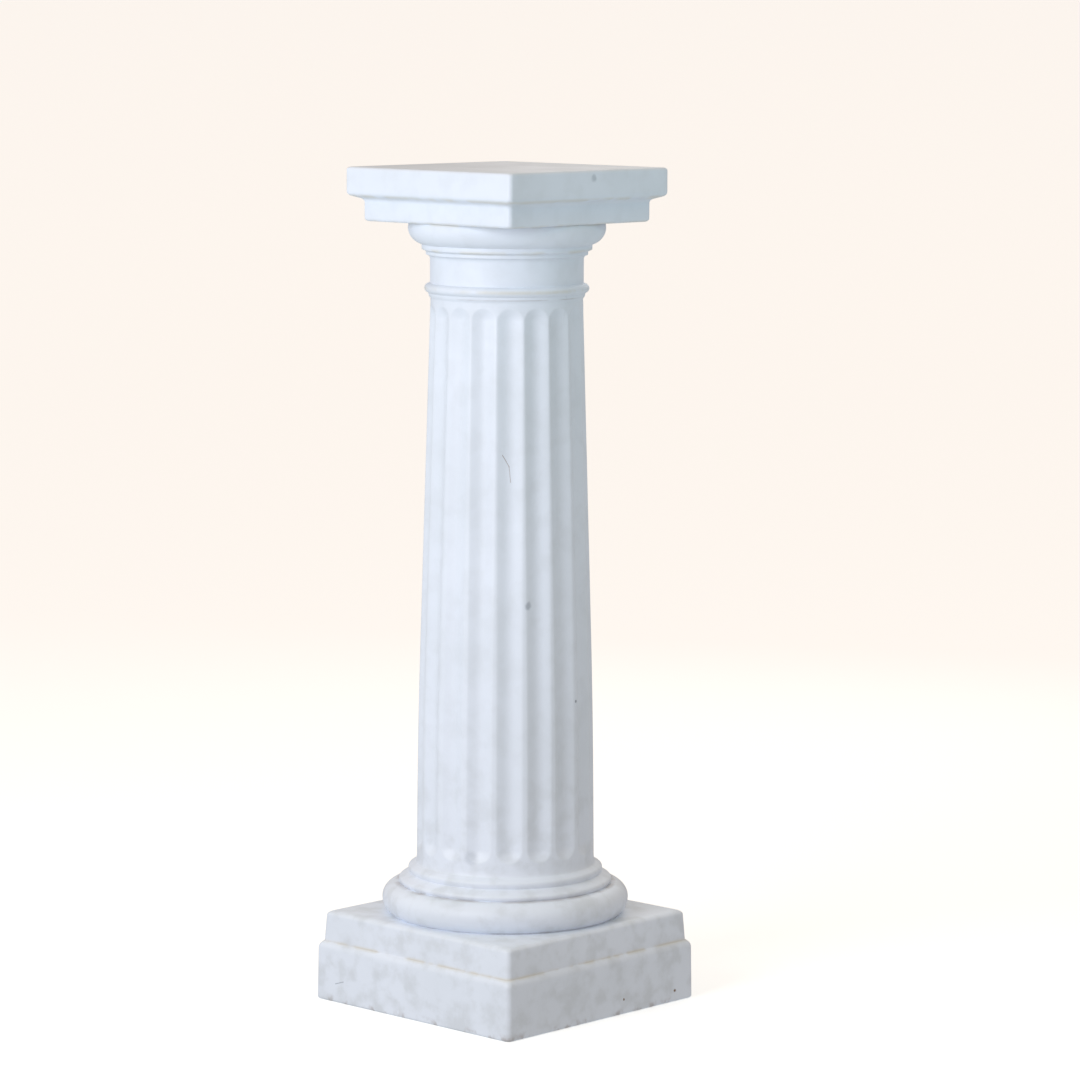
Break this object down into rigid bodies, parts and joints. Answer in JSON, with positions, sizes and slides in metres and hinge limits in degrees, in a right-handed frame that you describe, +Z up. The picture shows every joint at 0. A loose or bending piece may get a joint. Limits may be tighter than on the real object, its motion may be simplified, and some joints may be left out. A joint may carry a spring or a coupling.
{
  "type": "column plinth",
  "caption": "Column plinth: a fluted round shaft between a stepped square base and a square abacus, whose flat top carries an urn, planter or ornament.",
  "frame": {"origin": "centre of the underside of the square base", "axes": "+Z up along the column; +X, -X, +Y and -Y square to the four sides of the base"},
  "size_m": [0.355, 0.355, 1.1],
  "materials": {
    "white_gelcoat": "cool white satin gelcoat of a moulded resin shell, with a few small stains and specks"
  },
  "bodies": {
    "root": {"column_plinth": "white_gelcoat"}
  },
  "joints": []
}
